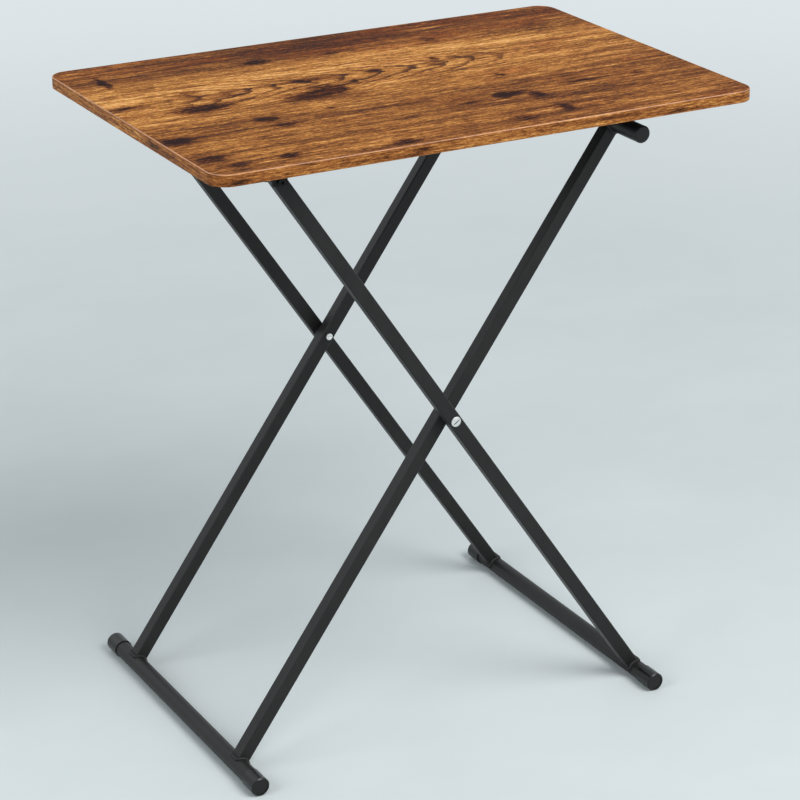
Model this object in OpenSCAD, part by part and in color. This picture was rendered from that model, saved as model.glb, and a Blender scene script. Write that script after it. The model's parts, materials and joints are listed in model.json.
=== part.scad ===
// Folding table: a hinged top on two crossed steel frames.
// X runs along the top's long side, Y across it, Z up from the floor.
// The origin is on the floor under the middle of the top.

/* [Tabletop] */
// Length of the top along X
top_length = 600; // [580:5:640]
// Depth of the top along Y
top_depth = 400; // [390:5:440]
// Thickness of the finished board
top_thickness = 12; // [10:1:18]
// Height of the upper surface above the floor
top_height = 660; // [640:1:680]
// Radius of the board's corners
corner_radius = 20; // [8:1:40]
// Thickness of the edge band
band_thickness = 1; // [0.6:0.2:2]
// Bevel along the edge band's upper and lower arris
band_bevel = 0.8; // [0.2:0.1:1]
// Thickness of the patterned laminate on the upper side
laminate_thickness = 0.6; // [0.4:0.1:1]
// Thickness of the backing sheet on the underside
backing_thickness = 0.4; // [0.2:0.1:0.8]

/* [Frame tubes] */
// Side of the square leg tube
leg_side = 14.5; // [13:0.5:15]
// Corner radius of the square leg tube
leg_corner = 1.8; // [1.4:0.1:3]
// Wall of every tube
tube_wall = 1.2; // [0.8:0.1:1.5]
// Diameter of the foot tubes and the crossbar
bar_diameter = 18; // [16:0.5:18]
// Distance from the middle plane to the middle of each outer leg
outer_leg_y = 146.6; // [145:0.1:150]
// Distance from the middle plane to the middle of each inner leg
inner_leg_y = 126.8; // [124:0.1:128]
// Length of the outer frame's foot tube between its caps' ends
outer_foot_length = 382; // [372:1:396]
// Length of the inner frame's foot tube between its caps' ends
inner_foot_length = 363; // [356:1:370]
// Length of the crossbar between its plugs' ends
crossbar_length = 362; // [356:1:370]

/* [Stance] */
// X of the pivot where the legs cross
pivot_x = -20; // [-26:1:-14]
// Height of that pivot
pivot_z = 348; // [344:1:352]
// X of the outer frame's foot
outer_foot_x = 210.5; // [205:0.5:216]
// X of the inner frame's foot
inner_foot_x = -258.5; // [-264:0.5:-253]
// Hinge axis below the board's underside
hinge_drop = 18; // [17.5:0.5:24]
// Crossbar axis below the board's underside
crossbar_drop = 22.5; // [21:0.5:24]

/* [Fittings] */
// Radius of the foot caps
cap_radius = 10; // [9.8:0.1:11]
// Length of the foot caps' sleeves
cap_length = 23; // [16:1:36]
// Diameter of the pivot rivets
rivet_diameter = 6; // [5:0.5:7]
// Diameter of the hinge pins
pin_diameter = 5; // [4.5:0.5:5.5]
// Thickness of the hinge brackets' sheet
bracket_sheet = 2; // [1.5:0.5:2]
// Width of each crossbar clip along Y
clip_width = 24; // [18:1:30]
// Distance from the middle plane to the middle of each clip
clip_y = 72; // [50:1:95]

/* [Hidden] */
$fn = 64;

powder_black = "#262626";
plastic_black = "#1b1b1b";
zinc = "#c9c9c6";
laminate_brown = "#7d5138";
band_brown = "#9a6a3c";
backing_black = "#2c2724";
chipboard = "#b79b73";
nylon_black = "#1e1e1e";

reach = 500;                       // longer than any cut
bar_radius = bar_diameter / 2;
leg_half = leg_side / 2;
leg_bore_side = leg_side - 2 * tube_wall;
underside_z = top_height - top_thickness;
foot_z = cap_radius;
hinge_z = underside_z - hinge_drop;
crossbar_z = underside_z - crossbar_drop;

// Lean of each frame from the vertical; positive leans towards +X at the top
inner_lean = atan2(pivot_x - inner_foot_x, pivot_z - foot_z);
outer_lean = -atan2(outer_foot_x - pivot_x, pivot_z - foot_z);
hinge_x = pivot_x + (hinge_z - pivot_z) * tan(outer_lean);
crossbar_x = pivot_x + (crossbar_z - pivot_z) * tan(inner_lean);
outer_lower = norm([outer_foot_x - pivot_x, pivot_z - foot_z]);
inner_lower = norm([pivot_x - inner_foot_x, pivot_z - foot_z]);
outer_upper = norm([hinge_x - pivot_x, hinge_z - pivot_z]);
inner_upper = norm([crossbar_x - pivot_x, crossbar_z - pivot_z]);
leg_past_hinge = 8;
plug_plate = 1.6;
plug_depth = 4;
plug_play = 0.1;

run_play = 0.05;                   // radial clearance of a turning fit
side_play = 0.3;                   // gap between faces that turn past each other
rivet_radius = rivet_diameter / 2;
pin_radius = pin_diameter / 2;
outer_face_y = outer_leg_y + leg_half;
outer_back_y = outer_leg_y - leg_half;
inner_face_y = inner_leg_y + leg_half;
inner_back_y = inner_leg_y - leg_half;

rivet_head_radius = 5.4;
rivet_head_height = 2.2;
rivet_rim = 1;
rivet_tail_radius = 3.7;
rivet_tail_height = 2;
slot_width = 1.5;
slot_depth = 1;
slot_turn = 35;
dimple_depth = 1;
spacer_radius = 6.5;

ear_play = 0.25;
ear_back = -9;
ear_front = 7;
ear_below = 4;
ear_corner = 1.5;
plate_back = -30;
plate_front = 29;
pin_head_radius = 3.9;
pin_head_height = 2.4;
pin_socket_radius = 1.9;
pin_socket_depth = 1.5;
pin_tail_radius = 3.7;
pin_tail_height = 1.4;
bracket_screw_x = [-22, 21];

clip_wall = 3.5;
clip_base = 4;
clip_back = -27;
clip_front = 33;
clip_lip = 6;
clip_jaw_turn = 118;
clip_screw_x = [-20, 26];

screw_radius = 1.9;
screw_head_radius = 3.6;
screw_crown_radius = 2.6;
screw_head_height = 2;
screw_depth = 8;
drive_arm = 4;
drive_slot = 0.9;
drive_depth = 1;

crossbar_plug_flange = 2.5;
crossbar_plug_depth = 15;
cap_end = 2;
cap_rim = 1.2;
cap_recess = 0.5;

// ---- shapes that repeat ----

module rounded_square(side, radius) {
    square([side - 2 * radius, side], center = true);
    square([side, side - 2 * radius], center = true);
    for (sx = [-1, 1], sy = [-1, 1])
        translate([sx * (side / 2 - radius), sy * (side / 2 - radius)]) circle(radius);
}

module rounded_board(length, depth, radius, height) {
    linear_extrude(height) {
        square([length - 2 * radius, depth], center = true);
        square([length, depth - 2 * radius], center = true);
        for (sx = [-1, 1], sy = [-1, 1])
            translate([sx * (length / 2 - radius), sy * (depth / 2 - radius)]) circle(radius);
    }
}

// A cylinder along Y from y0 to y1, through (x, z)
module rod(x, z, radius, y0, y1) {
    translate([x, y0, z]) rotate([-90, 0, 0]) cylinder(r = radius, h = y1 - y0);
}

module pipe(x, z, radius, y0, y1) {
    difference() {
        rod(x, z, radius, y0, y1);
        rod(x, z, radius - tube_wall, y0 - 1, y1 + 1);
    }
}

// A straight length of leg tube through the pivot, from below it to above it
module leg_tube(lean, below, above) {
    translate([pivot_x, 0, pivot_z]) rotate([0, lean, 0]) translate([0, 0, -below])
        linear_extrude(below + above) difference() {
            rounded_square(leg_side, leg_corner);
            rounded_square(leg_bore_side, leg_corner / 2);
        }
}

// Moves a shape drawn at y = 0 to the near side, or mirrors it to the far side
module on_side(side, y) {
    if (side == "near") translate([0, -y, 0]) children();
    else mirror([0, 1, 0]) translate([0, -y, 0]) children();
}

// Pan head screw driven up into the board, its head under height z
module screw_up(x, y, z) {
    translate([x, y, z]) {
        cylinder(r = screw_radius, h = screw_depth);
        difference() {
            translate([0, 0, -screw_head_height])
                cylinder(r1 = screw_crown_radius, r2 = screw_head_radius, h = screw_head_height);
            for (turn = [0, 90])
                rotate([0, 0, turn])
                    translate([-drive_arm / 2, -drive_slot / 2, -screw_head_height - 1])
                        cube([drive_arm, drive_slot, drive_depth + 1]);
        }
    }
}

// Places one child at each screw that holds a hinge bracket
module at_bracket_screws() {
    for (sy = [-1, 1], x = bracket_screw_x)
        translate([hinge_x + x, sy * outer_leg_y, 0]) children();
}

// Places one child at each screw that holds a crossbar clip
module at_clip_screws() {
    for (sy = [-1, 1], x = clip_screw_x)
        translate([crossbar_x + x, sy * clip_y, 0]) children();
}

// ---- tabletop ----

module screw_pilots() {
    at_bracket_screws() translate([0, 0, underside_z - bracket_sheet])
        cylinder(r = screw_radius, h = screw_depth);
    at_clip_screws() translate([0, 0, underside_z - clip_base])
        cylinder(r = screw_radius, h = screw_depth);
}

module board_layer(z0, z1) {
    translate([0, 0, z0])
        rounded_board(top_length - 2 * band_thickness, top_depth - 2 * band_thickness,
                      corner_radius - band_thickness, z1 - z0);
}

module tabletop_core() {
    color(chipboard) difference() {
        board_layer(underside_z + backing_thickness, top_height - laminate_thickness);
        screw_pilots();
    }
}

module top_laminate() {
    color(laminate_brown) board_layer(top_height - laminate_thickness, top_height);
}

module underside_laminate() {
    color(backing_black) difference() {
        board_layer(underside_z, underside_z + backing_thickness);
        screw_pilots();
    }
}

// The band's cross-section: x outwards from the board, y up
module band_section() {
    polygon([
        [0, 0], [band_thickness - band_bevel, 0], [band_thickness, band_bevel],
        [band_thickness, top_thickness - band_bevel], [band_thickness - band_bevel, top_thickness],
        [0, top_thickness]
    ]);
}

module band_straight(length) {
    rotate([90, 0, 0]) linear_extrude(length, center = true) band_section();
}

module edge_band() {
    straight_x = top_length - 2 * corner_radius;
    straight_y = top_depth - 2 * corner_radius;
    color(band_brown) translate([0, 0, underside_z]) {
        for (side = [0, 1]) {
            rotate([0, 0, 180 * side]) translate([top_length / 2 - band_thickness, 0, 0])
                band_straight(straight_y);
            rotate([0, 0, 90 + 180 * side]) translate([top_depth / 2 - band_thickness, 0, 0])
                band_straight(straight_x);
        }
        for (sx = [0, 1], sy = [0, 1])
            mirror([sx, 0, 0]) mirror([0, sy, 0]) translate([straight_x / 2, straight_y / 2, 0])
                rotate_extrude(angle = 90) translate([corner_radius - band_thickness, 0]) band_section();
    }
}

// ---- hinge brackets and pins ----

// One ear with its pin hole, from y0 to y1
module bracket_ear(y0, y1) {
    difference() {
        union() {
            translate([hinge_x + ear_back, y0, hinge_z - ear_below + ear_corner])
                cube([ear_front - ear_back, y1 - y0, hinge_drop + ear_below - ear_corner]);
            translate([hinge_x + ear_back + ear_corner, y0, hinge_z - ear_below])
                cube([ear_front - ear_back - 2 * ear_corner, y1 - y0, ear_corner]);
            for (x = [ear_back + ear_corner, ear_front - ear_corner])
                rod(hinge_x + x, hinge_z - ear_below + ear_corner, ear_corner, y0, y1);
        }
        rod(hinge_x, hinge_z, pin_radius + run_play, y0 - 1, y1 + 1);
    }
}

module hinge_bracket(side) {
    inner_y = leg_half + ear_play;
    outer_y = inner_y + bracket_sheet;
    color(powder_black) on_side(side, outer_leg_y) {
        bracket_ear(-outer_y, -inner_y);
        bracket_ear(inner_y, outer_y);
        difference() {
            translate([hinge_x + plate_back, -outer_y, underside_z - bracket_sheet])
                cube([plate_front - plate_back, 2 * outer_y, bracket_sheet]);
            for (x = bracket_screw_x)
                translate([hinge_x + x, 0, underside_z - bracket_sheet - 1])
                    cylinder(r = screw_radius, h = bracket_sheet + 2);
        }
    }
}

module hinge_pin(side) {
    ear_out = leg_half + ear_play + bracket_sheet;
    head_y = -ear_out - ear_play - pin_head_height;
    tail_y = ear_out + ear_play;
    color(powder_black) on_side(side, outer_leg_y) {
        difference() {
            union() {
                rod(hinge_x, hinge_z, pin_radius, head_y + 1, tail_y + pin_tail_height);
                rod(hinge_x, hinge_z, pin_head_radius, head_y, head_y + pin_head_height);
            }
            rod(hinge_x, hinge_z, pin_socket_radius, head_y - 1, head_y + pin_socket_depth);
        }
        rod(hinge_x, hinge_z, pin_tail_radius, tail_y, tail_y + pin_tail_height);
    }
}

// ---- crossbar clips ----

// Clip section, x and y being X and Z from the crossbar's axis
module clip_section() {
    hollow = bar_radius + side_play;
    outside = hollow + clip_wall;
    difference() {
        union() {
            circle(outside);
            translate([-outside * sin(clip_jaw_turn - 90), 0])
                square([outside * (1 + sin(clip_jaw_turn - 90)), crossbar_drop - clip_base]);
            translate([hollow, -clip_lip]) square([clip_wall, clip_lip]);
        }
        circle(hollow);
        translate([-reach, -reach]) square([reach + hollow, reach]);
        rotate(clip_jaw_turn) square([reach, reach]);
    }
    translate([clip_back, crossbar_drop - clip_base]) square([clip_front - clip_back, clip_base]);
}

module crossbar_clip(side) {
    color(plastic_black) on_side(side, clip_y) difference() {
        translate([crossbar_x, clip_width / 2, crossbar_z]) rotate([90, 0, 0])
            linear_extrude(clip_width) clip_section();
        for (x = clip_screw_x)
            translate([crossbar_x + x, 0, underside_z - clip_base - 1])
                cylinder(r = screw_radius, h = clip_base + 2);
    }
}

module bracket_screws() {
    color(zinc) at_bracket_screws() screw_up(0, 0, underside_z - bracket_sheet);
}

module clip_screws() {
    color(zinc) at_clip_screws() screw_up(0, 0, underside_z - clip_base);
}

// ---- outer frame ----

module outer_leg(side) {
    color(powder_black) on_side(side, outer_leg_y) difference() {
        leg_tube(outer_lean, outer_lower, outer_upper + leg_past_hinge);
        rod(outer_foot_x, foot_z, bar_radius, -reach, reach);
        rod(pivot_x, pivot_z, rivet_radius, -reach, reach);
        rod(hinge_x, hinge_z, pin_radius + run_play, -reach, reach);
    }
}

module outer_leg_plug(side) {
    bore_side = leg_bore_side - 2 * plug_play;
    color(plastic_black) on_side(side, outer_leg_y)
        translate([pivot_x, 0, pivot_z]) rotate([0, outer_lean, 0])
            translate([0, 0, outer_upper + leg_past_hinge]) {
                linear_extrude(plug_plate) rounded_square(leg_side, leg_corner);
                translate([0, 0, -plug_depth])
                    linear_extrude(plug_depth) rounded_square(bore_side, leg_corner / 2);
            }
}

module foot_tube(x, length) {
    half = length / 2 - cap_end;
    color(powder_black) pipe(x, foot_z, bar_radius, -half, half);
}

// Sleeve cap on the end of a foot tube, with a raised rim round its end
module foot_cap(side, x, length) {
    end_y = -length / 2;
    color(plastic_black) on_side(side, 0) difference() {
        union() {
            rod(x, foot_z, cap_radius, end_y + cap_rim, end_y + cap_length);
            translate([x, end_y, foot_z]) rotate([-90, 0, 0])
                cylinder(r1 = cap_radius - cap_rim, r2 = cap_radius, h = cap_rim);
        }
        rod(x, foot_z, bar_radius, end_y + cap_end, end_y + cap_length + 1);
        rod(x, foot_z, cap_radius - 2 * cap_rim, end_y - 1, end_y + cap_recess);
    }
}

// The rivet's half section: x from its axis, y out through the head from its seat
module rivet_section(grip) {
    rise = rivet_head_height - rivet_rim;
    dome_radius = (rivet_head_radius * rivet_head_radius + rise * rise) / (2 * rise);
    square([rivet_head_radius, rivet_rim]);
    intersection() {
        translate([0, rivet_head_height - dome_radius]) circle(dome_radius);
        translate([0, rivet_rim]) square([rivet_head_radius, rise]);
    }
    translate([0, -grip]) square([rivet_radius, grip]);
    difference() {
        translate([0, -grip - rivet_tail_height]) square([rivet_tail_radius, rivet_tail_height]);
        translate([0, -grip - rivet_tail_height])
            polygon([[0, 0], [rivet_radius / 2, 0], [0, dimple_depth]]);
    }
}

module pivot_rivet(side) {
    grip = outer_face_y - inner_back_y + side_play;
    color(zinc) on_side(side, outer_face_y)
        translate([pivot_x, 0, pivot_z]) rotate([90, 0, 0]) difference() {
            rotate_extrude() rivet_section(grip);
            translate([0, 0, rivet_head_height]) rotate([0, 0, slot_turn])
                cube([reach, slot_width, 2 * slot_depth], center = true);
        }
}

module pivot_spacer(side) {
    color(nylon_black) on_side(side, 0) difference() {
        rod(pivot_x, pivot_z, spacer_radius, -outer_back_y, -inner_face_y - side_play);
        rod(pivot_x, pivot_z, rivet_radius, -reach, reach);
    }
}

// ---- inner frame ----

module inner_leg(side) {
    color(powder_black) on_side(side, inner_leg_y) difference() {
        leg_tube(inner_lean, inner_lower, inner_upper);
        rod(inner_foot_x, foot_z, bar_radius, -reach, reach);
        rod(crossbar_x, crossbar_z, bar_radius, -reach, reach);
        rod(pivot_x, pivot_z, rivet_radius + run_play, -reach, reach);
    }
}

module crossbar_tube() {
    half = crossbar_length / 2 - crossbar_plug_flange;
    color(powder_black) pipe(crossbar_x, crossbar_z, bar_radius, -half, half);
}

module crossbar_plug(side) {
    end_y = -crossbar_length / 2;
    color(plastic_black) on_side(side, 0) {
        translate([crossbar_x, end_y, crossbar_z]) rotate([-90, 0, 0])
            cylinder(r1 = bar_radius - cap_rim, r2 = bar_radius, h = cap_rim);
        rod(crossbar_x, crossbar_z, bar_radius, end_y + cap_rim, end_y + crossbar_plug_flange);
        rod(crossbar_x, crossbar_z, bar_radius - tube_wall,
            end_y + crossbar_plug_flange, end_y + crossbar_plug_depth);
    }
}

tabletop_core();
top_laminate();
underside_laminate();
edge_band();
hinge_bracket("near");  // hinge_bracket_near
hinge_bracket("far");  // hinge_bracket_far
crossbar_clip("near");  // crossbar_clip_near
crossbar_clip("far");  // crossbar_clip_far
bracket_screws();
clip_screws();
hinge_pin("near");  // hinge_pin_near
hinge_pin("far");  // hinge_pin_far
outer_leg("near");  // outer_leg_near
outer_leg("far");  // outer_leg_far
foot_tube(outer_foot_x, outer_foot_length);  // outer_foot_tube
foot_cap("near", outer_foot_x, outer_foot_length);  // outer_foot_cap_near
foot_cap("far", outer_foot_x, outer_foot_length);  // outer_foot_cap_far
outer_leg_plug("near");  // outer_leg_plug_near
outer_leg_plug("far");  // outer_leg_plug_far
pivot_rivet("near");  // pivot_rivet_near
pivot_rivet("far");  // pivot_rivet_far
pivot_spacer("near");  // pivot_spacer_near
pivot_spacer("far");  // pivot_spacer_far
inner_leg("near");  // inner_leg_near
inner_leg("far");  // inner_leg_far
foot_tube(inner_foot_x, inner_foot_length);  // inner_foot_tube
foot_cap("near", inner_foot_x, inner_foot_length);  // inner_foot_cap_near
foot_cap("far", inner_foot_x, inner_foot_length);  // inner_foot_cap_far
crossbar_tube();
crossbar_plug("near");  // crossbar_plug_near
crossbar_plug("far");  // crossbar_plug_far
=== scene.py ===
# Folding table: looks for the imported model. Run inside Blender 4.5.
import json
import math
import random

import bmesh
import bpy
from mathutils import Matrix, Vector


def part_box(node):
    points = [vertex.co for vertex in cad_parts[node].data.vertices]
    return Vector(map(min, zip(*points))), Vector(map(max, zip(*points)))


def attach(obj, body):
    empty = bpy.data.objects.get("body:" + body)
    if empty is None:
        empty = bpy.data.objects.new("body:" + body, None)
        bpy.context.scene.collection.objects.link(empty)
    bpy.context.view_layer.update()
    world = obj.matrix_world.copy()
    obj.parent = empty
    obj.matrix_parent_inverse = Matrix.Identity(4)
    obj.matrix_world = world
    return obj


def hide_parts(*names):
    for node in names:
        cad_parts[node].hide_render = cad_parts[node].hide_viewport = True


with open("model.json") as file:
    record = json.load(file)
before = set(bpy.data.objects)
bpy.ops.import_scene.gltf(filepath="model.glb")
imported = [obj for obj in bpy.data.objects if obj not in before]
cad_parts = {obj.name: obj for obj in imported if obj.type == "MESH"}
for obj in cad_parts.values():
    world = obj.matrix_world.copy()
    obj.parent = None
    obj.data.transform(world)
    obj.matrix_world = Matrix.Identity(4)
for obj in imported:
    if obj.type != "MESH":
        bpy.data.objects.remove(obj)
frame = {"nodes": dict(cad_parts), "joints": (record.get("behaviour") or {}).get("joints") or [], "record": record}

mm = 0.001
up = Vector((0, 0, 1))
random.seed(7)


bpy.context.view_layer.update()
print("frame loaded:", len(frame["nodes"]), "nodes")


def colour(code):
    # "#rrggbb" as seen on screen, to the linear colour a shader wants
    parts = [int(code[i:i + 2], 16) / 255 for i in (1, 3, 5)]
    return tuple(c / 12.92 if c <= 0.04045 else ((c + 0.055) / 1.055) ** 2.4 for c in parts) + (1,)


class Signal:
    # one socket of a material; sums written with it become Math nodes
    def __init__(self, finish, socket):
        self.finish = finish
        self.socket = socket

    def __add__(self, other):
        return self.finish.maths("ADD", self, other)

    def __sub__(self, other):
        return self.finish.maths("SUBTRACT", self, other)

    def __rsub__(self, other):
        return self.finish.maths("SUBTRACT", other, self)

    def __mul__(self, other):
        return self.finish.maths("MULTIPLY", self, other)

    def __truediv__(self, other):
        return self.finish.maths("DIVIDE", self, other)

    def __pow__(self, other):
        return self.finish.maths("POWER", self, other)

    def __neg__(self):
        return self.finish.maths("MULTIPLY", self, -1)

    __radd__ = __add__
    __rmul__ = __mul__


noiseShift = (7.3, 3.1, 5.7)    # how far each seed moves the noise
noiseReach = 2.8                # brings the noise to about -1 to 1


class Finish:
    # a material, or the world, with short ways to add the nodes it needs
    def __init__(self, name, world=False):
        self.material = (bpy.data.worlds if world else bpy.data.materials).new(name)
        self.material.use_nodes = True
        self.tree = self.material.node_tree
        self.surface = self.tree.nodes["Background" if world else "Principled BSDF"]

    def add(self, kind, settings=None, inputs=None, output=0):
        made = self.tree.nodes.new(kind)
        for key, value in (settings or {}).items():
            if key == "stops":
                self.setStops(made.color_ramp, value)
            else:
                setattr(made, key, value)
        for key, value in (inputs or {}).items():
            if isinstance(value, Signal):
                self.tree.links.new(value.socket, made.inputs[key])
            else:
                made.inputs[key].default_value = value
        return Signal(self, made.outputs[output])

    def setStops(self, ramp, stops):
        while len(ramp.elements) < len(stops):
            ramp.elements.new(1)
        for element, (place, value) in zip(ramp.elements, stops):
            element.position = place
            element.color = value

    def maths(self, operation, *values):
        return self.add("ShaderNodeMath", {"operation": operation}, dict(enumerate(values)))

    def vector(self, operation, *values):
        return self.add("ShaderNodeVectorMath", {"operation": operation}, dict(enumerate(values)))

    def place(self):
        # position on the table at rest, in millimetres
        here = self.add("ShaderNodeTexCoord", output="Object")
        return self.vector("MULTIPLY", here, (1 / mm, 1 / mm, 1 / mm))

    def axes(self, where):
        parts = self.add("ShaderNodeSeparateXYZ", inputs={0: where})
        sockets = parts.socket.node.outputs
        return [Signal(self, sockets[i]) for i in range(3)]

    def noise(self, where, lengths, detail=2, rough=0.5, seed=0):
        # noise from about -1 to 1 whose blotches have these lengths in millimetres
        scaled = self.vector("DIVIDE", where, lengths)
        moved = self.vector("ADD", scaled, tuple(seed * shift for shift in noiseShift))
        inputs = {"Vector": moved, "Scale": 1, "Detail": detail, "Roughness": rough}
        return (self.add("ShaderNodeTexNoise", inputs=inputs) - 0.5) * noiseReach

    def layers(self, where, table):
        # one noise for each named row: lengths, detail, roughness and seed
        return {name: self.noise(where, *row) for name, row in table.items()}

    def total(self, layers, weights, base):
        # base plus each named layer as strongly as its weight says
        return sum((layers[name] * weight for name, weight in weights.items()), base)

    def step(self, value, low, high):
        # 0 below low and 1 above high, smooth between them
        settings = {"interpolation_type": "SMOOTHSTEP"}
        return self.add("ShaderNodeMapRange", settings, {0: value, 1: low, 2: high, 3: 0, 4: 1})

    def bell(self, value, middle, width):
        # 1 at the middle, falling away smoothly on both sides
        away = (value - middle) / width
        return self.maths("EXPONENT", -(away * away))

    def ramp(self, value, stops):
        coloured = [(place, colour(code)) for place, code in stops]
        return self.add("ShaderNodeValToRGB", {"stops": coloured}, {0: value})

    def blend(self, mode, share, first, second):
        # sockets 6 and 7 and output 2 are the node's colour ones
        settings = {"data_type": "RGBA", "blend_type": mode, "clamp_factor": True}
        return self.add("ShaderNodeMix", settings, {0: share, 6: first, 7: second}, output=2)

    def emboss(self, height, strength, depth):
        inputs = {"Height": height, "Strength": strength, "Distance": depth}
        return self.add("ShaderNodeBump", inputs=inputs)

    def paint(self, **inputs):
        for key, value in inputs.items():
            socket = self.surface.inputs[key.replace("_", " ")]
            if isinstance(value, Signal):
                self.tree.links.new(value.socket, socket)
            else:
                socket.default_value = value
        return self.material

    def cover(self, share, kind, ending):
        # lay the plain pale distance over the surface, as far as share says
        inputs = {"Color": colour(stageValues["distance"]), "Strength": 1}
        pale = self.add(kind, inputs=inputs)
        plain = Signal(self, self.surface.outputs[0])
        mixed = self.add("ShaderNodeMixShader", inputs={0: share, 1: plain, 2: pale})
        self.tree.links.new(mixed.socket, self.tree.nodes[ending].inputs["Surface"])


# wood of the top

topWood = {
    # tones of the print, from the darkest stain to the palest streak
    "tones": [(0.10, "#2c1513"), (0.21, "#4a2715"), (0.31, "#643817"), (0.40, "#7a4821"),
              (0.49, "#915a2a"), (0.58, "#ab7036"), (0.67, "#c38644"), (0.77, "#de9f55"),
              (0.86, "#f2bd7c")],
    "baseTone": 0.50,
    # noise layers: lengths in mm, detail, roughness, seed
    "layers": {
        "drift": ((230, 60, 60), 2, 0.5, 0),
        "ripple": ((40, 9, 9), 4, 0.6, 1),
        "wander": ((15, 9, 9), 4, 0.65, 2),
        "waver": ((90, 22, 22), 2, 0.5, 3),
        "patch": ((120, 22, 22), 2, 0.5, 4),
        "streak": ((150, 11, 11), 5, 0.62, 5),
        "strand": ((40, 3.6, 3.6), 4, 0.68, 6),
        "fibre": ((11, 1.7, 1.7), 3, 0.62, 7),
        "speck": ((3.4, 1.3, 1.3), 2, 0.6, 8),
        "pore": ((10, 0.9, 0.9), 1, 0.5, 9),
        "ragged": ((9, 3.4, 3.4), 4, 0.72, 10),
        "hue": ((90, 26, 26), 3, 0.6, 11),
    },
    "weights": {"streak": 0.30, "strand": 0.36, "fibre": 0.32, "speck": 0.24},
    # knots and stains: middle x, y, half length, half width in mm, and how dark
    "stains": [
        (-214, 5, 28, 11, 0.95), (-100, -4, 30, 13, 1.0), (-72, 8, 18, 13, 1.0),
        (-94, 135, 14, 7, 0.80), (-264, 136, 5, 22, 0.85), (-176, -58, 12, 8, 0.80),
        (-168, -82, 15, 8, 0.60), (66, -96, 11, 11, 0.75), (80, -92, 14, 6, 0.85),
        (98, -108, 8, 10, 0.75), (74, 60, 5, 7, 0.80), (101, -29, 5, 6, 0.70),
        (-106, -53, 5, 4, 0.90), (-210, -173, 11, 7, 0.80), (24, -102, 14, 5, 0.50),
        (98, -160, 7, 12, 0.70), (165, -86, 24, 4, 0.75), (232, -88, 8, 8, 0.45),
        (-278, -148, 18, 10, 0.70), (-284, -84, 18, 14, 0.70), (-37, 20, 4, 9, 0.60),
        (-284, 42, 24, 5, 0.65), (-206, 62, 13, 9, 0.50), (-96, -186, 15, 9, 0.65),
        (44, -172, 16, 12, 0.50), (-264, -178, 14, 10, 0.45), (-80, 48, 26, 8, 0.55),
        (-4, 48, 9, 6, 0.60), (108, 128, 9, 11, 0.40), (-14, 130, 10, 6, 0.35),
        (64, 38, 8, 5, 0.45), (118, 36, 14, 4, 0.55), (-10, -155, 9, 12, 0.30),
        (236, 120, 22, 14, 0.30), (-170, 44, 9, 8, 0.45)],
    "stainWander": 7, "stainRipple": 4,     # how far their outlines stray, in mm
    "stainRagged": 1.1, "stainEdge": (-0.02, 0.85),
    # arched growth lines: where they lie, in mm, and how they bend and stray
    "arch": {"middle": 41, "halfWidth": 38, "spread": 46, "slope": 7, "gap": 38, "lineGap": 17,
             "leftEnd": (-270, -180), "rightEnd": (190, 90), "edge": (0.55, 1.0),
             "drift": 7, "ripple": 2.5, "push": 0.5, "waver": 24, "wander": 7, "jag": 0.05},
    # how much each mark darkens the wood
    "marks": {"heart": 0.42, "arch": 0.04, "patchLine": 0.10, "line": 0.05, "pore": 0.09,
              "stain": 0.46},
    "patchEdge": (-0.3, 0.5), "poreEdge": (0.3, 0.75),
    # wide bands along the grain: middle y, half width in mm, and how much lighter or darker
    "bands": [(80, 30, 0.20), (8, 42, 0.14), (-70, 22, -0.09), (172, 32, -0.10),
              (-128, 24, -0.04)],
    "bandDrift": 16, "bandStreak": 6,
    # to the right the light bands weaken and the dark ones strengthen
    "bandTurn": {"reach": (60, 300), "share": 0.45, "darkStart": 0.8},
    # a dark patch at the back: middle x and half width, and the y where it begins and is full
    "backShade": {"middle": -40, "halfWidth": 120, "reach": (110, 150), "streak": 12,
                  "depth": 0.12},
    # tints: cooler in the stains and the front right corner, redder towards the back
    "cool": {"tint": "#bfa0a6", "stain": 0.8, "corner": 0.22, "reach": (120, 420), "most": 0.9},
    "red": {"tint": "#d6a79a", "back": 0.7, "reach": (90, 170), "left": 0.3, "leftMiddle": -200,
            "leftWidth": 150, "edge": (-0.1, 1.1), "share": 0.8, "stain": 0.7},
    "height": {"fibre": 0.8, "strand": 0.5, "arch": 0.6, "pore": 0.6},
    "roughness": 0.52, "shine": 0.03, "relief": 0.35, "reliefDepth": 0.12 * mm,
}
leastPush = 6   # knots with a larger half width, in mm, push the grain lines aside
pushFall = 0.35


def stainFields(finish, x, y, stains):
    # darkness of all the stains, and how far each pushes the grain lines aside
    dark, push = 0, 0
    for middleX, middleY, halfLength, halfWidth, depth in stains:
        away = y - middleY
        far = (x - middleX) / halfLength
        wide = away / halfWidth
        spread = far * far + wide * wide
        dark = dark + finish.maths("EXPONENT", -spread) * depth
        if halfWidth > leastPush:
            push = push + away * finish.maths("EXPONENT", spread * -pushFall)
    return dark, push


def makeGrowthLines(finish, x, y, grain, push):
    # arches with their tips towards +X, nearly straight away from the middle
    arch = topWood["arch"]
    across = (y + grain["drift"] * arch["drift"] + grain["ripple"] * arch["ripple"]
              - arch["middle"] - push * arch["push"])
    bend = finish.maths("SQRT", across * across + arch["spread"] ** 2) - arch["spread"]
    line = (x + bend * arch["slope"] + grain["waver"] * arch["waver"]
            + grain["wander"] * arch["wander"])
    growth = finish.maths("FRACT", line / arch["gap"]) + grain["ripple"] * arch["jag"]
    fine = finish.maths("FRACT", line / arch["lineGap"]) ** 3
    heart = (finish.bell(across, 0, arch["halfWidth"]) * finish.step(x, *arch["leftEnd"])
             * finish.step(x, *arch["rightEnd"]))
    return finish.step(growth, *arch["edge"]), fine, heart


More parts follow.
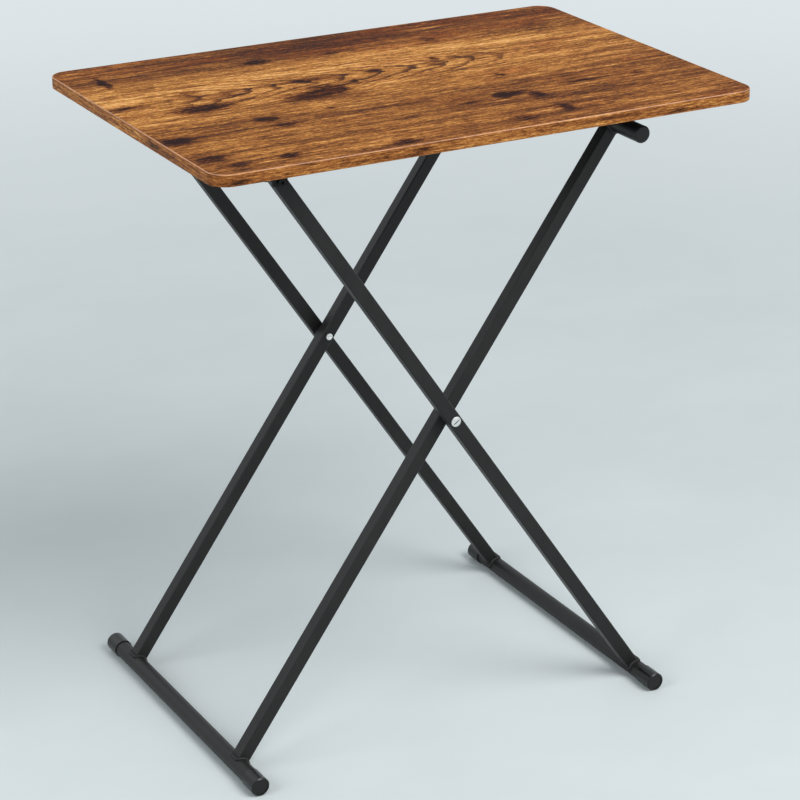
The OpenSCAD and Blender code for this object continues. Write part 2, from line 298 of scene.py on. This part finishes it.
def bandTones(finish, x, y, grain):
    # what the wide bands and the dark patch at the back add to the tone
    turn, shade = topWood["bandTurn"], topWood["backShade"]
    rightward = finish.step(x, *turn["reach"]) * turn["share"]
    across = y + grain["drift"] * topWood["bandDrift"] + grain["streak"] * topWood["bandStreak"]
    tone = 0
    for middle, halfWidth, change in topWood["bands"]:
        strength = 1 - rightward if change > 0 else rightward + turn["darkStart"]
        tone = tone + finish.bell(across, middle, halfWidth) * change * strength
    back = finish.step(y + grain["streak"] * shade["streak"], *shade["reach"])
    return tone - finish.bell(x, shade["middle"], shade["halfWidth"]) * back * shade["depth"]


def tintWood(finish, x, y, wood, stain, hue):
    # cooler in the stains and towards the front right, redder towards the back
    cool, red = topWood["cool"], topWood["red"]
    corner = finish.step(x - y * 2, *cool["reach"]) * cool["corner"]
    share = finish.maths("MINIMUM", stain * cool["stain"] + corner, cool["most"])
    wood = finish.blend("MULTIPLY", share, wood, colour(cool["tint"]))
    back = finish.step(y, *red["reach"]) * red["back"]
    left = finish.bell(x, red["leftMiddle"], red["leftWidth"]) * red["left"]
    share = finish.step(hue + back - left, *red["edge"]) * (red["share"] - stain * red["stain"])
    return finish.blend("MULTIPLY", share, wood, colour(red["tint"]))


def makeTopWood():
    finish = Finish("wood_laminate")
    where = finish.place()
    x, y, _ = finish.axes(where)
    grain = finish.layers(where, topWood["layers"])
    dark, push = stainFields(finish, x + grain["wander"] * topWood["stainWander"],
                             y + grain["ripple"] * topWood["stainRipple"], topWood["stains"])
    arch, fine, heart = makeGrowthLines(finish, x, y, grain, push)
    patch = finish.step(grain["patch"], *topWood["patchEdge"])
    pore = finish.step(grain["pore"], *topWood["poreEdge"])
    ragged = grain["ragged"] * topWood["stainRagged"] + 1
    stain = finish.step(dark * ragged, *topWood["stainEdge"])

    marks = topWood["marks"]
    tone = finish.total(grain, topWood["weights"], topWood["baseTone"])
    tone = tone + bandTones(finish, x, y, grain)
    tone = tone - arch * (heart * marks["heart"] + patch * marks["arch"])
    tone = tone - fine * (patch * marks["patchLine"] + marks["line"])
    tone = tone - pore * marks["pore"] - stain * marks["stain"]
    wood = finish.ramp(tone, topWood["tones"])
    wood = tintWood(finish, x, y, wood, stain, grain["hue"])

    height = topWood["height"]
    relief = (grain["fibre"] * height["fibre"] + grain["strand"] * height["strand"]
              - arch * heart * height["arch"] - pore * height["pore"])
    return finish.paint(
        Base_Color=wood, Roughness=topWood["roughness"] + (grain["fibre"] + stain) * 0.06,
        Specular_IOR_Level=topWood["shine"],
        Normal=finish.emboss(relief, topWood["relief"], topWood["reliefDepth"]))


# wood of the edge

edgeWood = {
    "tones": [(0.10, "#3a2013"), (0.24, "#5d361b"), (0.38, "#7f4b25"), (0.50, "#985e2f"),
              (0.62, "#b0753b"), (0.76, "#cc914f"), (0.90, "#eab878")],
    "baseTone": 0.52,
    "layers": {
        "ripple": ((40, 5, 5), 3, 0.6, 1),
        "streak": ((90, 4, 4), 4, 0.62, 2),
        "strand": ((26, 2.2, 2.2), 4, 0.68, 3),
        "fibre": ((8, 1.1, 1.1), 3, 0.62, 4),
        "speck": ((2.4, 1, 1), 2, 0.6, 5),
    },
    "weights": {"streak": 0.26, "strand": 0.34, "fibre": 0.30, "speck": 0.22},
    # dark knots: place along the band from its start, and height, in mm, then half sizes
    "knots": [(540, 7, 9, 3, 0.5), (1130, 5, 12, 3, 0.45), (205, 4, 10, 2, 0.3),
              (1540, 6, 14, 3, 0.4), (1880, 6, 9, 3, 0.4), (120, 8, 13, 2, 0.25),
              (1690, 4, 11, 2.5, 0.35)],
    "knotRipple": (5, 1.5),     # how far their outlines stray, along and up
    "line": {"gap": 2.7, "ripple": 2, "streak": 2.4, "push": 0.5, "depth": 0.2},
    # painted highlight: the upper arris is paler, standing in for the light it catches: where it begins and is
    # full, in mm, and how much
    "arris": {"tint": "#e2b193", "reach": (10.9, 11.5), "strand": 0.25, "share": 0.55},
    "roughness": 0.5, "shine": 0.1, "relief": 0.3, "reliefDepth": 0.1 * mm,
}


def makeEdgeWood():
    finish = Finish("edge_banding")
    unrolled = finish.add("ShaderNodeTexCoord", output="UV")
    where = finish.vector("MULTIPLY", unrolled, (1 / mm, 1 / mm, 0))
    along, high, _ = finish.axes(where)
    grain = finish.layers(where, edgeWood["layers"])
    strayAlong, strayUp = edgeWood["knotRipple"]
    dark, push = stainFields(finish, along + grain["ripple"] * strayAlong,
                             high + grain["ripple"] * strayUp, edgeWood["knots"])
    line = edgeWood["line"]
    run = (high + grain["ripple"] * line["ripple"] + grain["streak"] * line["streak"]
           - push * line["push"])
    fine = finish.maths("FRACT", run / line["gap"]) ** 3
    tone = finish.total(grain, edgeWood["weights"], edgeWood["baseTone"])
    wood = finish.ramp(tone - fine * line["depth"] - dark, edgeWood["tones"])
    arris = edgeWood["arris"]
    # painted highlight: the band's colour pales towards its upper arris
    pale = finish.step(high + grain["strand"] * arris["strand"], *arris["reach"]) * arris["share"]
    wood = finish.blend("MIX", pale, wood, colour(arris["tint"]))
    relief = grain["fibre"] + grain["strand"] * 0.5 - fine * 0.3
    return finish.paint(
        Base_Color=wood, Roughness=edgeWood["roughness"] + grain["fibre"] * 0.06,
        Specular_IOR_Level=edgeWood["shine"],
        Normal=finish.emboss(relief, edgeWood["relief"], edgeWood["reliefDepth"]))


# board and backing

boardCore = {
    "chips": [(0.0, "#8a6a42"), (0.4, "#b08d5e"), (0.7, "#c9a877"), (1.0, "#e0c79b")],
    "chipSize": (3.2, 2.4, 1.1),    # mm
    "grain": ((2, 2, 0.6), 3),
    "roughness": 0.85,
}


def makeBoardCore():
    finish = Finish("board_core")
    where = finish.place()
    inputs = {"Vector": finish.vector("DIVIDE", where, boardCore["chipSize"]), "Scale": 1}
    cells = finish.add("ShaderNodeTexVoronoi", inputs=inputs, output="Color")
    tint = finish.add("ShaderNodeSeparateColor", inputs={0: cells})
    grain = finish.noise(where, *boardCore["grain"])
    return finish.paint(
        Base_Color=finish.ramp(tint * 0.7 + 0.15 + grain * 0.25, boardCore["chips"]),
        Roughness=boardCore["roughness"], Normal=finish.emboss(grain, 0.5, 0.1 * mm))


backingSheet = {
    "tones": [(0.0, "#231d19"), (0.5, "#332b25"), (1.0, "#463b32")],
    "layers": {
        "cloud": ((70, 40, 40), 4, 0.6, 0),
        "fibre": ((7, 0.8, 0.8), 3, 0.6, 1),
        "speck": ((0.9, 0.9, 0.9), 2, 0.6, 2),
    },
    "weights": {"cloud": 0.3, "fibre": 0.28, "speck": 0.12},
    "roughness": 0.62,
}


def makeBackingSheet():
    finish = Finish("backing_sheet")
    paper = finish.layers(finish.place(), backingSheet["layers"])
    tone = finish.total(paper, backingSheet["weights"], 0.5)
    return finish.paint(
        Base_Color=finish.ramp(tone, backingSheet["tones"]),
        Roughness=backingSheet["roughness"] + paper["cloud"] * 0.08,
        Normal=finish.emboss(paper["fibre"] + paper["speck"], 0.3, 0.08 * mm))


# black finishes

blackMarks = {"cloud": ((60, 60, 60), 3, 0.55, 0), "scuff": ((9, 9, 30), 4, 0.7, 3)}
blackWeights = {"cloud": 0.22, "pebble": 0.2, "dust": 0.14, "scuff": 0.16}
blackGloss = {"cloud": 0.04, "pebble": 0.04, "scuff": 0.03}


def makeBlack(name, values):
    # a dark finish with a fine pebble in its surface
    finish = Finish(name)
    size = values["pebble"]
    pebble = {"pebble": ((size,) * 3, 2, 0.55, 1), "dust": ((size / 3,) * 3, 1, 0.5, 2)}
    coat = finish.layers(finish.place(), blackMarks | pebble)
    return finish.paint(
        Base_Color=finish.ramp(finish.total(coat, blackWeights, 0.5), values["tones"]),
        Roughness=finish.total(coat, blackGloss, values["roughness"]),
        Specular_IOR_Level=values["shine"],
        Normal=finish.emboss(coat["pebble"] + coat["dust"] * 0.5, values["depth"], 0.05 * mm))


# pebble is its size in mm, and depth how strongly it shows
powderCoat = {"tones": [(0.0, "#131313"), (0.5, "#1e1d1d"), (1.0, "#2d2b2b")],
              "pebble": 1.3, "roughness": 0.46, "depth": 0.35, "shine": 0.26}
blackOxide = {"tones": [(0.0, "#0c0c0c"), (0.5, "#151515"), (1.0, "#222222")],
              "pebble": 0.7, "roughness": 0.36, "depth": 0.2, "shine": 0.18}
capPlastic = {"tones": [(0.0, "#080808"), (0.5, "#0e0e0e"), (1.0, "#181818")],
              "pebble": 0.6, "roughness": 0.29, "depth": 0.2, "shine": 0.34}
clipPlastic = {"tones": [(0.0, "#0f0f10"), (0.5, "#18181a"), (1.0, "#242426")],
               "pebble": 0.8, "roughness": 0.45, "depth": 0.3, "shine": 0.22}
nylon = {"tones": [(0.0, "#0d0d0e"), (0.5, "#161617"), (1.0, "#212122")],
         "pebble": 1.6, "roughness": 0.42, "depth": 0.15, "shine": 0.18}


# zinc

brightZinc = {
    "tones": [(0.0, "#c6c6c3"), (0.5, "#e4e4e2"), (1.0, "#f6f6f4")],
    "layers": {"cloud": ((3, 3, 3), 3, 0.6, 0), "scratch": ((2.4, 0.12, 0.12), 2, 0.6, 1)},
    "weights": {"cloud": 0.35, "scratch": 0.15},
    "gloss": {"cloud": 0.06, "scratch": 0.04},
    "roughness": 0.36,
    # painted shade: the colour darkens in slots and corners, this many mm wide, where shade falls
    "paintedShade": "#1d1c1b", "paintedShadeReach": 1.6, "paintedShadeEdge": (0.35, 0.85),
}


def makeBrightZinc():
    finish = Finish("bright_zinc")
    plate = finish.layers(finish.place(), brightZinc["layers"])
    openness = finish.add("ShaderNodeAmbientOcclusion", {"samples": 8},
                          {"Distance": brightZinc["paintedShadeReach"] * mm}, output="AO")
    # painted shade: where the ambient occlusion finds close surfaces the base colour turns dark, as shade would
    paintedShade = 1 - finish.step(openness, *brightZinc["paintedShadeEdge"])
    unshaded = finish.ramp(finish.total(plate, brightZinc["weights"], 0.5), brightZinc["tones"])
    return finish.paint(
        Base_Color=finish.blend("MIX", paintedShade, unshaded, colour(brightZinc["paintedShade"])), Metallic=1,
        Roughness=finish.total(plate, brightZinc["gloss"], brightZinc["roughness"]),
        Normal=finish.emboss(plate["scratch"], 0.2, 0.02 * mm))


finishes = {
    "wood_laminate": makeTopWood(),
    "edge_banding": makeEdgeWood(),
    "board_core": makeBoardCore(),
    "backing_sheet": makeBackingSheet(),
    "powder_coat": makeBlack("powder_coat", powderCoat),
    "black_oxide": makeBlack("black_oxide", blackOxide),
    "cap_plastic": makeBlack("cap_plastic", capPlastic),
    "clip_plastic": makeBlack("clip_plastic", clipPlastic),
    "nylon": makeBlack("nylon", nylon),
    "bright_zinc": makeBrightZinc(),
}
print("materials made:", len(finishes))


def addPiece(name, mesh, slotName, body):
    # a smooth piece with its finish, riding on a body
    mesh.normal_update()
    data = bpy.data.meshes.new(name)
    mesh.to_mesh(data)
    mesh.free()
    for face in data.polygons:
        face.use_smooth = True
    data.materials.append(finishes[slotName])
    piece = bpy.data.objects.new(name, data)
    bpy.context.scene.collection.objects.link(piece)
    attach(piece, body)
    return piece


edgeBand = {"arris": 0.9 * mm, "arrisSteps": 5, "cornerSteps": 20, "straightSteps": 12}
touching = 0.01 * mm


def bandProfile(thickness, height):
    # closed outline of the band: distance out from its outer face, and height
    radius = edgeBand["arris"]
    outline = [(-thickness, 0)]
    for middle, start in ((radius, -90), (height - radius, 0)):
        for i in range(edgeBand["arrisSteps"] + 1):
            turn = math.radians(start + 90 * i / edgeBand["arrisSteps"])
            outline.append((radius * (math.cos(turn) - 1), middle + radius * math.sin(turn)))
    outline.append((-thickness, height))
    return outline


def boardPath(halfLength, halfDepth, radius):
    # round the board from the middle of its near side: point, outward direction, distance run
    x, y = halfLength - radius, halfDepth - radius
    front = Vector((0, -1, 0))
    start = front * halfDepth
    stops = [(start, front)]
    for corner, (middleX, middleY) in enumerate(((x, -y), (x, y), (-x, y), (-x, -y))):
        for i in range(edgeBand["cornerSteps"] + 1):
            turn = math.radians(90 * (corner - 1 + i / edgeBand["cornerSteps"]))
            out = Vector((math.cos(turn), math.sin(turn), 0))
            stops.append((Vector((middleX, middleY, 0)) + out * radius, out))
    stops.append((start, front))
    path = []
    run = 0
    for (point, out), (following, _) in zip(stops, stops[1:]):
        gap = (following - point).length
        steps = edgeBand["straightSteps"] if gap > radius else 1
        for i in range(steps):
            share = i / steps
            path.append((point.lerp(following, share), out, run + gap * share))
        run += gap
    path.append((start, front, run))
    return path


def makeEdgeBand():
    low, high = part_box("edge_band")
    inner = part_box("top_laminate")[1]
    side = [v.co for v in frame["nodes"]["edge_band"].data.vertices if high.y - v.co.y < touching]
    radius = high.x - max(point.x for point in side)
    outline = bandProfile(high.x - inner.x, high.z - low.z)
    path = boardPath(high.x, high.y, radius)
    mesh = bmesh.new()
    uv = mesh.loops.layers.uv.new("grain")
    rings = [[mesh.verts.new(point + out * far + up * (low.z + height)) for far, height in outline]
             for point, out, _ in path[:-1]]
    for i in range(len(rings)):
        first, second = rings[i], rings[(i + 1) % len(rings)]
        begin, end = path[i][2], path[i + 1][2]
        for j in range(len(outline)):
            k = (j + 1) % len(outline)
            face = mesh.faces.new((first[j], second[j], second[k], first[k]))
            below, above = sum(outline[j]), sum(outline[k])     # the grain runs on over the faces
            corners = ((begin, below), (end, below), (end, above), (begin, above))
            for loop, corner in zip(face.loops, corners):
                loop[uv].uv = corner
    bmesh.ops.recalc_face_normals(mesh, faces=mesh.faces)
    piece = addPiece("edge_band_strip", mesh, "edge_banding", "tabletop")
    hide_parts("edge_band")
    return piece


weldBead = {"radius": 2.5 * mm, "lump": 0.45 * mm, "lumpSizes": (0.75, 1.15), "lumpMiddle": 0.7,
            "pitch": 2.6 * mm, "stepsPerLump": 8, "ringPoints": 12,
            "tubeCorner": 1.8 * mm, "cornerSteps": 6}


def legOutline(half, steps):
    # evenly spaced points round the square tube, with their outward directions
    radius = weldBead["tubeCorner"]
    corners = []
    for quarter, (sideX, sideY) in enumerate(((1, 1), (-1, 1), (-1, -1), (1, -1))):
        middle = Vector((sideX, sideY)) * (half - radius)
        for i in range(weldBead["cornerSteps"] + 1):
            turn = math.radians(90 * (quarter + i / weldBead["cornerSteps"]))
            out = Vector((math.cos(turn), math.sin(turn)))
            corners.append((middle + out * radius, out))
    corners.append(corners[0])
    runs = [0]
    for (point, _), (following, _) in zip(corners, corners[1:]):
        runs.append(runs[-1] + (following - point).length)
    outline = []
    for i in range(steps):
        target = runs[-1] * i / steps
        j = max(k for k in range(len(corners) - 1) if runs[k] <= target)
        share = (target - runs[j]) / (runs[j + 1] - runs[j])
        outline.append([a.lerp(b, share) for a, b in zip(corners[j], corners[j + 1])])
    return outline


def makeWeld(name, body, legNode, barNode):
    # a lumpy bead round the joint between a square leg and a round bar
    legLow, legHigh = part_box(legNode)
    barLow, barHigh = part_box(barNode)
    pivot = Vector(next(joint["pos_m"] for joint in frame["joints"]
                        if joint["name"] == "leg_fold"))
    bar = (barLow + barHigh) / 2
    bar.y = pivot.y = (legLow.y + legHigh.y) / 2
    along = (pivot - bar).normalized()
    across = Vector((0, 1, 0))
    sideways = along.cross(across)
    half = (legHigh.y - legLow.y) / 2
    barRadius = (barHigh.z - barLow.z) / 2
    lumps = round(8 * half / weldBead["pitch"])     # four sides, each twice the half width
    sizes = [random.uniform(*weldBead["lumpSizes"]) for i in range(lumps)]
    mesh = bmesh.new()
    rings = []
    for i, (spot, out) in enumerate(legOutline(half, lumps * weldBead["stepsPerLump"])):
        rise = math.sqrt(barRadius ** 2 - spot.x ** 2)
        outward = sideways * out.x + across * out.y
        centre = bar + sideways * spot.x + across * spot.y + along * rise
        lump, place = divmod(i / weldBead["stepsPerLump"], 1)
        swell = math.sin(math.pi * place) * sizes[int(lump)]
        radius = weldBead["radius"] + weldBead["lump"] * (swell - weldBead["lumpMiddle"])
        ring = []
        for k in range(weldBead["ringPoints"]):
            turn = math.tau * k / weldBead["ringPoints"]
            reach = outward * math.cos(turn) + along * math.sin(turn)
            ring.append(mesh.verts.new(centre + reach * radius))
        rings.append(ring)
    for first, second in zip(rings, rings[1:] + rings[:1]):
        for k in range(weldBead["ringPoints"]):
            n = (k + 1) % weldBead["ringPoints"]
            mesh.faces.new((first[k], second[k], second[n], first[n]))
    bmesh.ops.recalc_face_normals(mesh, faces=mesh.faces)
    return addPiece(name, mesh, "powder_coat", body)


makeEdgeBand()
for side in ("near", "far"):
    makeWeld("weld_outer_foot_" + side, "outer_frame", "outer_leg_" + side, "outer_foot_tube")
    makeWeld("weld_inner_foot_" + side, "inner_frame", "inner_leg_" + side, "inner_foot_tube")
    makeWeld("weld_crossbar_" + side, "inner_frame", "inner_leg_" + side, "crossbar_tube")
print("pieces made")


softEdges = {"width": 0.25 * mm, "segments": 2, "angle": 40,
             "nodes": ["pivot_rivet", "hinge_pin", "hinge_bracket", "crossbar_clip", "foot_cap",
                       "crossbar_plug", "leg_plug", "screws"]}


def dressNodes():
    # each node gets its slot's finish, and the small parts slightly rounded edges
    for part in frame["record"]["subparts"]:
        node = frame["nodes"][part["node"]]
        node.data.materials.clear()
        node.data.materials.append(finishes[part["material_slot"]])
        if any(word in part["node"] for word in softEdges["nodes"]):
            soften = node.modifiers.new("soft_edges", "BEVEL")
            soften.width = softEdges["width"]
            soften.segments = softEdges["segments"]
            soften.limit_method = "ANGLE"
            soften.angle_limit = math.radians(softEdges["angle"])


dressNodes()
print("nodes dressed")


stageValues = {
    "floorHalf": 30,
    "floorTones": [(0.0, "#cdd8dc"), (0.5, "#d7e0e3"), (1.0, "#e1e8ea")],
    "floorCloud": ((420, 300, 300), 4, 0.6),
    "floorRoughness": 0.55,
    # the floor fades into the distance between these, in mm from the table's middle
    "distance": "#dde5e8", "fade": (500, 3200),
    "sky": "#e6ebec", "skyStrength": 0.40,
}


def backdropRays(finish):
    # 1 for what the camera sees directly, in a shiny face or through a clear one
    camera, shiny, clear = (finish.add("ShaderNodeLightPath", output=f"Is {kind} Ray")
                            for kind in ("Camera", "Glossy", "Transmission"))
    return finish.maths("MAXIMUM", camera, finish.maths("MAXIMUM", shiny, clear))


def fadeFloor(finish, where):
    # far from the table the floor runs into an even pale backdrop
    x, y, _ = finish.axes(where)
    away = finish.maths("SQRT", x * x + y * y)
    share = finish.step(away, *stageValues["fade"]) * backdropRays(finish)
    finish.cover(share, "ShaderNodeEmission", "Material Output")


def makeFloor():
    finish = Finish("pale_floor")
    where = finish.place()
    cloud = finish.noise(where, *stageValues["floorCloud"])
    finish.paint(Base_Color=finish.ramp(cloud * 0.35 + 0.5, stageValues["floorTones"]),
                 Roughness=stageValues["floorRoughness"])
    fadeFloor(finish, where)
    mesh = bmesh.new()
    half = stageValues["floorHalf"]
    corners = ((-half, -half), (half, -half), (half, half), (-half, half))
    mesh.faces.new([mesh.verts.new((x, y, 0)) for x, y in corners])
    data = bpy.data.meshes.new("floor")
    mesh.to_mesh(data)
    mesh.free()
    data.materials.append(finish.material)
    floor = bpy.data.objects.new("floor", data)
    bpy.context.scene.collection.objects.link(floor)


def makeSky():
    # it lights the table softly, and shows as the same pale backdrop past the floor
    finish = Finish("sky", world=True)
    finish.paint(Color=colour(stageValues["sky"]), Strength=stageValues["skyStrength"])
    finish.cover(backdropRays(finish), "ShaderNodeBackground", "World Output")
    bpy.context.scene.world = finish.material


warm, cold = (1.0, 0.985, 0.96), (0.98, 0.99, 1.0)
lampValues = {
    "key": {"place": (0.9, -2.3, 3.2), "size": 2.4, "watts": 117, "tint": warm},
    "left": {"place": (-3.2, -0.4, 1.9), "size": 2.2, "watts": 44, "tint": cold},
    "back": {"place": (-1.2, 3.4, 1.9), "size": 2.4, "watts": 9, "tint": cold},
}
lampAim = Vector((0, 0, 0.4))


def makeLamp(name, values):
    lamp = bpy.data.lights.new(name, "AREA")
    lamp.shape = "SQUARE"
    lamp.size = values["size"]
    lamp.energy = values["watts"]
    lamp.color = values["tint"]
    holder = bpy.data.objects.new(name, lamp)
    holder.location = values["place"]
    aim = lampAim - holder.location
    holder.rotation_euler = aim.to_track_quat("-Z", "Y").to_euler()
    bpy.context.scene.collection.objects.link(holder)


cameraValues = {"place": (-1.27856, -2.29050, 1.39028), "tilt": 68.457, "turn": -29.126,
                "sensor": 36, "lens": 120.71, "shift": (0.0044, -0.0469)}


def makeCamera():
    data = bpy.data.cameras.new("camera")
    data.sensor_width = cameraValues["sensor"]
    data.lens = cameraValues["lens"]
    data.shift_x, data.shift_y = cameraValues["shift"]
    camera = bpy.data.objects.new("camera", data)
    camera.location = cameraValues["place"]
    tilt, turn = math.radians(cameraValues["tilt"]), math.radians(cameraValues["turn"])
    camera.rotation_euler = (tilt, 0, turn)
    bpy.context.scene.collection.objects.link(camera)
    bpy.context.scene.camera = camera


makeFloor()
makeSky()
for lampName, values in lampValues.items():
    makeLamp(lampName, values)
makeCamera()
bpy.context.scene.view_settings.view_transform = "Standard"
print("stage ready")
